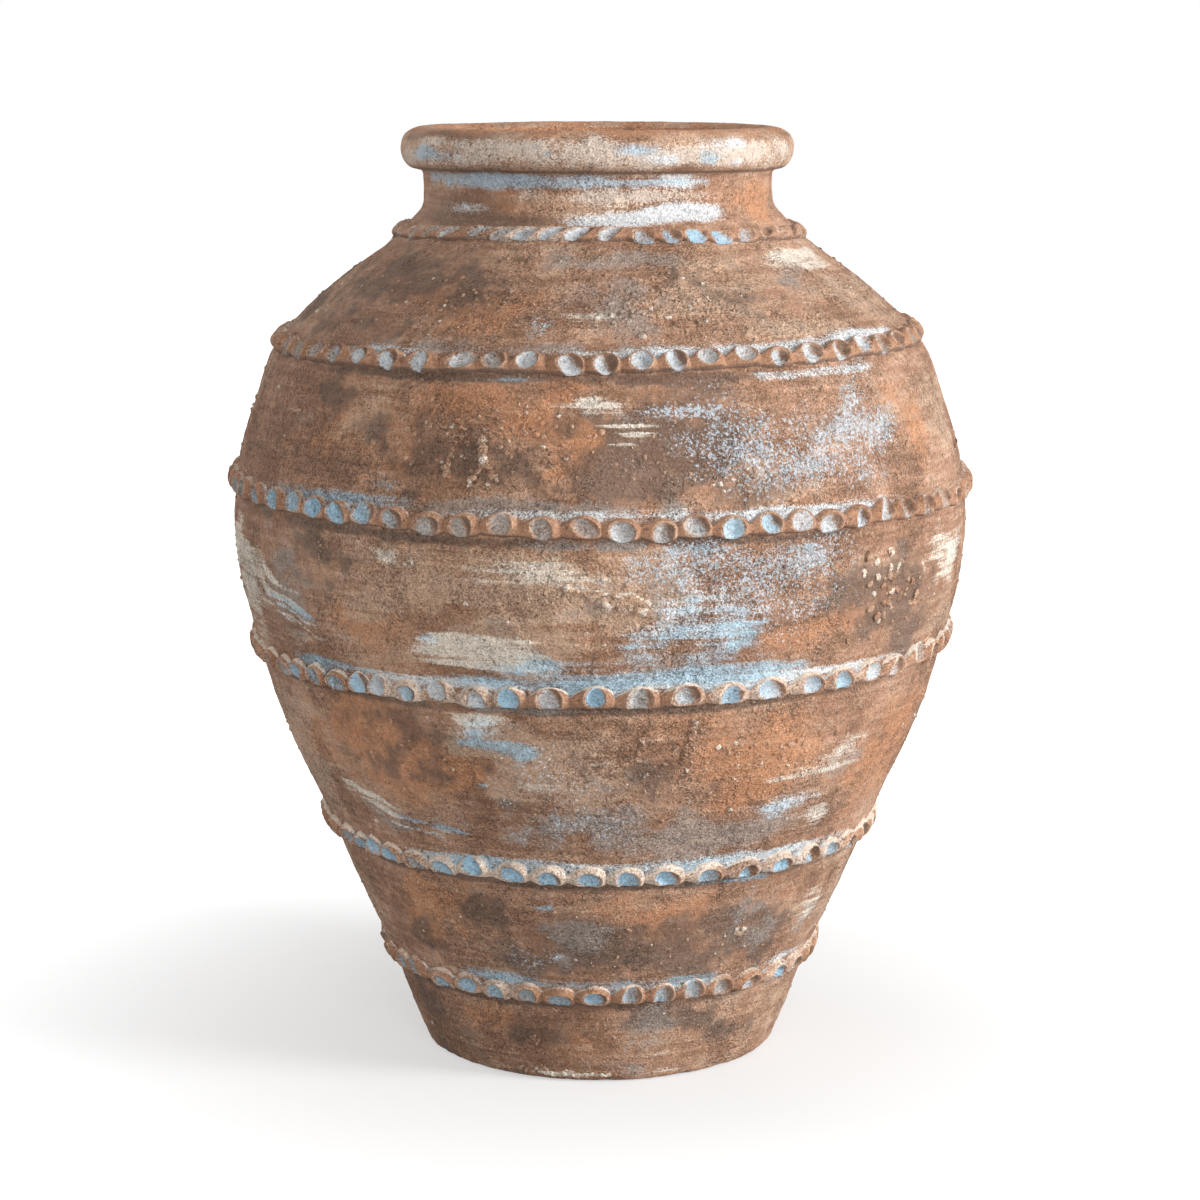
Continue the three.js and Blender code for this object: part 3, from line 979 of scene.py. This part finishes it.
base = {
    "name": "base", "node": "base", "thickness": 0.015,
    "rest": 0.1094,  # radius of the flat underside
    "sideRows": 10,
    "discRows": 24,
    "topInset": 0.004,  # where the foot wall hides the top
    "edgeMargin": 0.001,
    "roughFade": 0.004,  # distance below the top over which the side gets rough
    "surface": [(0.030, 0.0016), (0.008, 0.0010), (0.0042, 0.0006)],
    "marks": [
        ("dark", -50, 0.008, 35, 0.012, 0.50),
        ("grey", 8, 0.010, 13, 0.010, 0.55),
        ("cream", -10, 0.0045, 15, 0.0020, 0.80),
        ("cream", 24, 0.0060, 5, 0.0025, 0.60),
        ("tan", 35, 0.008, 12, 0.010, 0.45),
    ],
    "grit": [
        (-10, 0.0060, 18, 0.004, 22, 0.0012),
    ],
    "strings": [
        (-25, 0.0050, 6, 0.0045, 22, 0.0014),
    ],
    "gritHeights": (0.004, 0.012),
}


def layBase():
    thickness, rest, margin = base["thickness"], base["rest"], base["edgeMargin"]
    radius = faceRadius(thickness)
    under = [(r, 0.0) for r in np.linspace(0.0, rest, base["discRows"])]
    side = [(faceRadius(z), z) for z in np.linspace(faceHeights[0], thickness, base["sideRows"])]
    top = [(r, thickness) for r in np.linspace(radius - base["topInset"], 0.0, base["discRows"])]
    piece = drawSection(base["name"], under + side + top)
    turnOnWheel(piece, round(2 * math.pi * radius / jar["spacing"]))
    points = pointsOf(piece)
    angles, radii = polar(points)
    onSide = (radii > rest - margin) & (points[:, 2] < thickness - margin)
    fade = stretch(thickness - points[:, 2], 0, base["roughFade"])
    roughen(piece, np.where(onSide, fade, 0), base["surface"])
    points = pointsOf(piece)
    points[:, 2] = np.maximum(points[:, 2], 0)  # the underside stays flat
    placePoints(piece, points)
    cover = coverOf(angles, points[:, 2], base["marks"])
    paint(piece, cover)
    addGrit(piece, gritPlaces(base, *base["gritHeights"]), cover)
    finishPiece(piece, base["node"], terracotta)


layBase()

strip = {
    "spacing": 0.0009,
    "rows": 27,
    "slopeReach": 0.008,
    "seat": 0.002, "seatWidth": 0.7,  # how far the strip is sunk in the wall, and how much of its width
    "skin": 0.0005,  # depth of what counts as the front
    # half widths and heights of a bead, and of the strip where it is pinched between two
    "upper": 0.0073, "upperPinch": 0.0006,
    "lower": 0.0068, "lowerPinch": 0.0056,
    "crown": 0.0062, "saddle": 0.0028,
    "fullness": 0.7,  # lower is plumper
    "tuck": 0.0012,  # how far the edges are pressed into the wall
    "steepShare": 0.42,  # of the way from one mark to the next that the steep right side of a bead takes
    "gentleRise": 1.7,
    "cupWidth": 0.0068, "cupHeight": 0.0063, "cupDepth": 0.0058, "cupDrop": 0.0004,
    "cupRound": 0.9, "cupEdgeDepth": 0.3,
    "thinnest": 0.0006,  # clay left under a finger
    "lip": 0.0004, "lipPlace": (1.10, 0.14),  # clay raised round a cup: height, then place and width
    # how much one mark differs from the next
    "pitchSpread": 0.04, "sizeSpread": 0.10, "liftSpread": 0.0007, "leanSpread": 0.16,
    "surface": [(0.012, 0.0008), (0.0040, 0.0005)],
}


def cupAngles(seen, pitch, radius):
    # the marks in view, then the same pitch round the back
    gap = 360 - (seen[-1] - seen[0])
    count = round(math.radians(gap) * radius / pitch)
    hidden = seen[-1] + gap * np.arange(1, count) / count
    jitter = dice.normal(0, strip["pitchSpread"], len(hidden)) * math.degrees(pitch / radius)
    return np.concatenate([seen, hidden + jitter])


def swell(thin, full, share):
    return thin + (full - thin) * share


def bell(values, middle, width):
    return np.exp(-(((values - middle) / width) ** 2))


def pressBand(band):
    size = {**strip, **band["size"]}
    height = band["height"]
    radius = float(faceRadius(height))
    seam = np.array([radius, height])
    up, out = faceDirections(height, size["slopeReach"])
    turns = np.linspace(0, math.pi, size["rows"])
    section = [(-size["lower"] * math.cos(t), size["crown"] * math.sin(t)) for t in turns]
    section += [(size["seatWidth"] * v, -size["seat"]) for v in (size["upper"], -size["lower"])]
    piece = drawSection(band["name"], [tuple(seam + v * up + o * out) for v, o in section])
    turnOnWheel(piece, round(2 * math.pi * radius / size["spacing"]))
    points = pointsOf(piece)
    angles, radii = polar(points)
    offset = np.stack([radii - radius, points[:, 2] - height], axis=1)
    v, o = offset @ up, offset @ out  # up the face and out of it
    front = o > -size["skin"]
    t = np.where(front, np.arctan2(np.maximum(o, 0) / size["crown"], -v / size["lower"]), 0)
    rise, bulge = -np.cos(t), np.sin(t)

    # the marks, each a little different, and how far every point is from the nearest
    cups = cupAngles(band["cups"], band["pitch"], radius)
    grow = dice.normal(1, size["sizeSpread"], (len(cups), 3))
    lift = dice.normal(0, size["liftSpread"], len(cups)) - np.interp(cups, *np.array(band["drop"]).T)
    lean = dice.normal(0, size["leanSpread"], len(cups)) + np.interp(cups, *np.array(band["slant"]).T)
    rounds = cups[0] + (angles - cups[0]) % 360
    before = np.searchsorted(cups, rounds, side="right") - 1
    ends = np.append(cups, cups[0] + 360)
    between = (rounds - ends[before]) / (ends[before + 1] - ends[before])
    steep = between < size["steepShare"]
    nearest = np.where(steep, before, (before + 1) % len(cups))
    along = np.radians(rounds - np.where(steep, ends[before], ends[before + 1])) * radius
    bead = np.where(
        steep,
        np.sqrt(np.clip(1 - (between / size["steepShare"]) ** 2, 0, 1)),
        1 - np.clip((1 - between) / (1 - size["steepShare"]), 0, 1) ** size["gentleRise"],
    )

    # beads first, then the hollows pressed into them
    upper = swell(size["upperPinch"], size["upper"], bead)
    lower = swell(size["lowerPinch"], size["lower"], bead)
    across = rise * np.where(rise > 0, upper, lower)
    crown = swell(size["saddle"], size["crown"], bead)
    proud = crown * bulge ** size["fullness"] - size["tuck"] * (1 - bulge) ** 2
    inCupAlong = (along - lean[nearest] * across) / (size["cupWidth"] * grow[nearest, 0])
    inCupUp = (across - lift[nearest] + size["cupDrop"]) / (size["cupHeight"] * grow[nearest, 1])
    reach = np.hypot(inCupAlong, inCupUp)
    hollow = np.clip(1 - reach**2, 0, 1) ** size["cupRound"]
    proud -= size["cupDepth"] * grow[nearest, 2] * hollow * bulge ** size["cupEdgeDepth"]
    proud += size["lip"] * bell(reach, *size["lipPlace"]) * bulge
    v = np.where(front, across + lift[nearest] * bead, v)
    o = np.where(front, np.where(reach < 1, np.maximum(proud, size["thinnest"]), proud), o)
    turn = np.radians(angles)
    climb = band["tilt"] * radius * np.sin(turn) + band["arch"] * np.cos(turn) ** 2
    v = v + climb / up[1]
    section = seam + v[:, None] * up + o[:, None] * out
    placePoints(piece, fromPolar(angles, section[:, 0], section[:, 1]))
    roughen(piece, np.where(front, 1.0, 0), size["surface"])

    cover = bandCover(
        band, front=front, angles=angles, along=along, rise=rise, bead=bead, reach=reach,
        inCupAlong=inCupAlong, inCupUp=inCupUp, nearest=nearest, count=len(cups),
    )
    paint(piece, cover)
    finishPiece(piece, band["node"], bandClay)


bandTint = {
    "cupEdge": (1.12, 0.78),  # from the middle of a cup, as shares of its size
    "bareShadedFrom": (-1.7, -0.6), "bareShadedFade": 0.9, "bareShadedTurn": 0.45,  # the wash thins out at the upper right of cups, the side turned from the light, and the bare clay there gets painted shade
    "ring": (1.10, 0.09),  # place and width of the line round a cup
    "topLine": (0.86, 0.97), "root": (0.70, 0.97),  # shares of the half width
    "orange": 0.7,
    "ringTan": 0.6,
    # cream round the left of each cup: partly dry-brushed lime, partly a painted highlight on the side that faces
    # the light
    "ringCreamAndHighlight": 0.7, "creamAndHighlightSide": (-0.3, 0.8),
    "chalkHides": 0.6,  # of the orange
    "flankShade": 0.25, "flank": (-0.0096, 0.0022),  # painted shade on the slope to the left of a cup
    # painted shade: dark clay under the band, and in the bare upper right of each cup, the side turned from the
    # light
    "rootShade": 0.8, "cupShade": 0.75,
    "valleyWash": 0.9, "cupWash": (0.75, 1.1),
}


def lengthOfBand(angles, angle, halfWidth, strength):
    # a length of the band, and its mirror image on the back
    level = np.zeros(len(angles))
    front = markCover(angles, level, angle, 0, halfWidth, 1, strength)
    return front + markCover(angles, level, 180 - angle, 0, halfWidth, 1, strength)


def bandCover(band, front, angles, along, rise, bead, reach, inCupAlong, inCupUp, nearest, count):
    tint = bandTint
    cup = stretch(reach, *tint["cupEdge"]) * front
    # the wash lies on the lower left of each cup, the side that faces the light: a real wash laid out as a painted
    # gradient of light and shade
    bareShadedTo = dice.uniform(*tint["bareShadedFrom"], count)[nearest]
    washed = cup * stretch(-tint["bareShadedTurn"] * inCupUp - inCupAlong, bareShadedTo, bareShadedTo + tint["bareShadedFade"])
    ring = bell(reach, *tint["ring"]) * front
    topLine = stretch(rise, *tint["topLine"]) * front
    root = stretch(np.abs(rise), *tint["root"]) * front
    cover = {layer: np.zeros(len(angles)) for layer in colourLayers}
    cover["orange"] = np.where(front, tint["orange"] * (1 - cup), 0)
    cover["tan"] = tint["ringTan"] * ring
    # cream round each cup, strongest on its left: partly dry-brushed lime, partly a painted highlight
    creamAndHighlightRing = tint["ringCreamAndHighlight"] * ring * stretch(-inCupAlong, *tint["creamAndHighlightSide"])
    cover["cream"] = band["creamLipAndHighlight"] * np.maximum(topLine, creamAndHighlightRing)
    for angle, halfWidth, strength in band["chalk"]:
        share = lengthOfBand(angles, angle, halfWidth, strength)
        cover["cream"] = np.maximum(cover["cream"], share * (1 - cup) * front)
        cover["orange"] *= 1 - tint["chalkHides"] * np.minimum(share, 1)
    # painted shade on the slope to the left of each cup
    flank = tint["flankShade"] * front * bell(along, *tint["flank"]) * (1 - cup)
    # painted shade under the band and in the bare upper right of each cup
    underside = np.where(rise < 0, tint["rootShade"] * root, 0)
    cover["dark"] = np.maximum(np.maximum(underside, tint["cupShade"] * (cup - washed)), flank)
    valley = np.where(rise > 0, root * (1 - bead), 0)
    vary = dice.uniform(*tint["cupWash"], count)[nearest]
    for layer, angle, halfWidth, strength in band["wash"]:
        share = lengthOfBand(angles, angle, halfWidth, strength)
        share *= np.maximum(washed * vary, tint["valleyWash"] * valley)
        cover[layer] = np.maximum(cover[layer], share)
    return cover


plainBand = {
    "tilt": 0.0,  # rise to the right, as a share of the distance
    "arch": 0.0,  # how much higher the front and back are than the sides
    "slant": [(0, 0.0)], "drop": [(0, 0.0)],  # of the marks: (angle, value)
    "size": {},  # what differs from the strip
    "chalk": [],  # cream between the marks: angle, half width, strength
}

footBand = {
    **plainBand,
    "name": "footBand", "node": "foot_band", "height": 0.0635, "pitch": 0.0225,
    "cups": [-63, -56, -44.3, -35.8, -27.3, -18.5, -10.2, -1.2, 7.8, 16.0, 24.1, 32.3, 41.8, 53.0, 62.0],
    "creamLipAndHighlight": 0.60,
    "chalk": [(-24, 9, 0.50), (54, 10, 0.50)],
    # wash in the marks: colour layer, angle, half width, strength
    "wash": [("grey", 0, 90, 0.9), ("blue", -20, 60, 0.70), ("blue", 52, 16, 0.9), ("white", 50, 18, 0.8)],
}
pressBand(footBand)

lowerBand = {
    **plainBand,
    "name": "lowerBand", "node": "lower_band", "height": 0.1485, "tilt": -0.007, "pitch": 0.0235,
    "cups": [
        -62.1, -56.4, -51.7, -46.4, -39.3, -32.4, -25.1, -17.1, -9.8, -2.0, 5.4, 13.0, 21.6, 29.9, 38.2,
        46.6, 53.6, 60.9,
    ],
    "creamLipAndHighlight": 0.95,
    "chalk": [(-12, 50, 0.62), (42, 22, 0.62)],
    "wash": [
        ("grey", 0, 90, 0.7), ("white", -10, 70, 0.7), ("blue", -15, 60, 0.95), ("blue", 40, 30, 0.9),
        ("white", 40, 34, 0.8),
    ],
}
pressBand(lowerBand)

lowerBellyBand = {
    **plainBand,
    "name": "lowerBellyBand", "node": "lower_belly_band", "height": 0.2645, "tilt": 0.013, "pitch": 0.0235,
    "cups": [
        -60.5, -56.2, -50.3, -45.0, -39.8, -36.0, -30.5, -25.1, -18.7, -13.7, -7.4, -0.7, 6.0, 12.9, 19.8,
        26.4, 33.8, 39.9, 46.6, 52.7, 60.3,
    ],
    "creamLipAndHighlight": 0.95,
    "chalk": [(-27, 16, 0.56), (32, 26, 0.46)],
    "wash": [
        ("grey", 0, 90, 0.8), ("white", -28, 34, 0.95), ("blue", -48, 14, 0.8), ("blue", -30, 3, 0.7),
        ("blue", -14, 3, 0.95), ("blue", -1, 4, 1.0), ("white", 32, 30, 0.95), ("blue", 20, 9, 0.75),
        ("blue", 38, 8, 0.8),
    ],
}
pressBand(lowerBellyBand)

bellyBand = {
    **plainBand,
    "name": "bellyBand", "node": "belly_band", "height": 0.364, "tilt": -0.007, "pitch": 0.0236,
    "cups": [
        -62.8, -56.7, -51.2, -46.0, -41.1, -35.8, -30.7, -24.9, -19.7, -14.0, -8.1, -2.0, 3.1, 8.8, 13.5,
        18.9, 24.6, 29.8, 34.8, 40.4, 45.9, 50.8,
    ],
    "creamLipAndHighlight": 0.50,
    "wash": [
        ("grey", 0, 100, 0.9), ("white", -48, 24, 0.6), ("blue", -48, 24, 0.85), ("white", -4, 16, 0.55),
        ("white", 30, 26, 0.95), ("blue", 22, 10, 0.5),
    ],
}
pressBand(bellyBand)

shoulderBand = {
    **plainBand,
    "name": "shoulderBand", "node": "shoulder_band", "height": 0.4525, "tilt": 0.012, "pitch": 0.0232,
    "cups": [
        -62, -56, -50, -43.5, -37, -30.5, -22.9, -17.5, -11.8, -4.9, 0.9, 6.7, 12.4, 17.8, 24.7, 30.7, 37.6,
        44.5, 50.8, 57.0,
    ],
    "creamLipAndHighlight": 0.50,
    "wash": [
        ("grey", 0, 100, 0.9), ("white", -34, 22, 0.95), ("white", 0, 24, 0.85), ("blue", 8, 4, 0.5),
        ("white", 35, 24, 0.9),
    ],
}
pressBand(shoulderBand)

neckBand = {
    **plainBand,
    "name": "neckBand", "node": "neck_band", "height": 0.5164, "tilt": -0.003, "arch": 0.0042,
    "pitch": 0.0190,
    "cups": [-62, -54, -45.8, -35.6, -27.0, -19.6, -12.7, -5.0, 3.5, 12.3, 19.9, 28.0, 35.0, 45.1, 54, 62],
    "slant": [(-60, 1.3), (4, 1.0), (12, -0.3), (36, -0.3), (46, 0.9)],
    "drop": [(4, 0), (12, 0.0022), (36, 0.0022), (46, 0)],
    "size": {
        "upper": 0.0052, "upperPinch": 0.0046, "lower": 0.0056, "lowerPinch": 0.0050,
        "crown": 0.0042, "saddle": 0.0040, "lip": 0.0003,
        "cupWidth": 0.0066, "cupHeight": 0.0056, "cupDepth": 0.0036, "cupDrop": 0.0,
    },
    "creamLipAndHighlight": 0.7,
    "chalk": [(-24, 20, 0.50)],
    "wash": [
        ("grey", -20, 60, 0.7), ("white", -36, 24, 0.8), ("white", -4, 14, 0.95), ("blue", 27, 18, 1.0),
        ("blue", -18, 8, 0.4),
    ],
}
pressBand(neckBand)

studio = {
    "floor": 16.0,
    "floorColour": (0.50, 0.50, 0.50, 1),
    "floorRoughness": 0.9,
    "floorLift": 0.46,  # white that only the camera sees, so that the floor is white and keeps the shadow
    "shadowReach": (0.14, 0.75),
    "cameraPlace": (0, -1.900, 0.629),
    "cameraPitch": 10.36,
    "lens": 91.0,
    "sensor": 36,
    "fill": 0.51,
    # lamps: name, place, size, power
    "lamps": [
        ("softKey", (2.7, -1.1, 1.15), 0.9, 94),
        ("frontFill", (0.5, -3.0, 1.1), 1.6, 36),
        ("edgeLight", (-2.4, 1.3, 0.8), 1.4, 20),
    ],
    "aim": (0, 0, 0.35),
}


def seenDirectly(tree):
    # 1 for what the camera sees, straight or in a shiny or clear surface
    rays = addNode(tree, "ShaderNodeLightPath", {})
    seen = combine(tree, "MAXIMUM", rays.outputs["Is Camera Ray"], rays.outputs["Is Glossy Ray"])
    return combine(tree, "MAXIMUM", seen, rays.outputs["Is Transmission Ray"])


def layFloor():
    bpy.ops.object.select_all(action="DESELECT")
    bpy.ops.mesh.primitive_plane_add(size=studio["floor"], location=(0, 0, 0))
    floor = bpy.context.object
    floor.name = "studioFloor"
    paper = bpy.data.materials.new("palePaper")
    paper.use_nodes = True
    tree = paper.node_tree
    shader = tree.nodes["Principled BSDF"]
    shader.inputs["Base Color"].default_value = studio["floorColour"]
    shader.inputs["Roughness"].default_value = studio["floorRoughness"]
    shader.inputs["Specular IOR Level"].default_value = 0.0
    place = addNode(tree, "ShaderNodeTexCoord", {}).outputs["Object"]
    away = addNode(tree, "ShaderNodeVectorMath", {0: place}, operation="LENGTH").outputs["Value"]
    near, far = studio["shadowReach"]
    lift = ramp(tree, away, near, far, studio["floorLift"], 1.0)
    lift = combine(tree, "MULTIPLY", lift, seenDirectly(tree))
    glow = addNode(tree, "ShaderNodeEmission", {"Color": (1, 1, 1, 1), "Strength": lift})
    both = addNode(tree, "ShaderNodeAddShader", {0: shader.outputs[0], 1: glow.outputs[0]})
    tree.links.new(both.outputs[0], tree.nodes["Material Output"].inputs["Surface"])
    floor.data.materials.append(paper)


def hangLights():
    world = bpy.data.worlds.new("studioAir")
    bpy.context.scene.world = world
    world.use_nodes = True
    tree = world.node_tree
    air = tree.nodes["Background"]
    inputs = {"Value": seenDirectly(tree), "To Min": studio["fill"], "To Max": 1.0}
    strength = addNode(tree, "ShaderNodeMapRange", inputs)
    air.inputs["Color"].default_value = (1, 1, 1, 1)
    tree.links.new(strength.outputs[0], air.inputs["Strength"])
    for name, place, size, power in studio["lamps"]:
        bpy.ops.object.light_add(type="AREA", location=place)
        lamp = bpy.context.object
        lamp.name = name
        lamp.data.size = size
        lamp.data.energy = power
        away = np.array(place) - np.array(studio["aim"])
        tip = math.acos(away[2] / np.linalg.norm(away))
        lamp.rotation_euler = (tip, 0, math.atan2(away[0], -away[1]))


def setCamera():
    bpy.ops.object.camera_add(location=studio["cameraPlace"])
    camera = bpy.context.object
    camera.rotation_euler = (math.radians(90 - studio["cameraPitch"]), 0, 0)
    camera.data.lens = studio["lens"]
    camera.data.sensor_width = studio["sensor"]
    bpy.context.scene.camera = camera


layFloor()
hangLights()
setCamera()
bpy.context.scene.view_settings.view_transform = "Standard"
print("studio set")
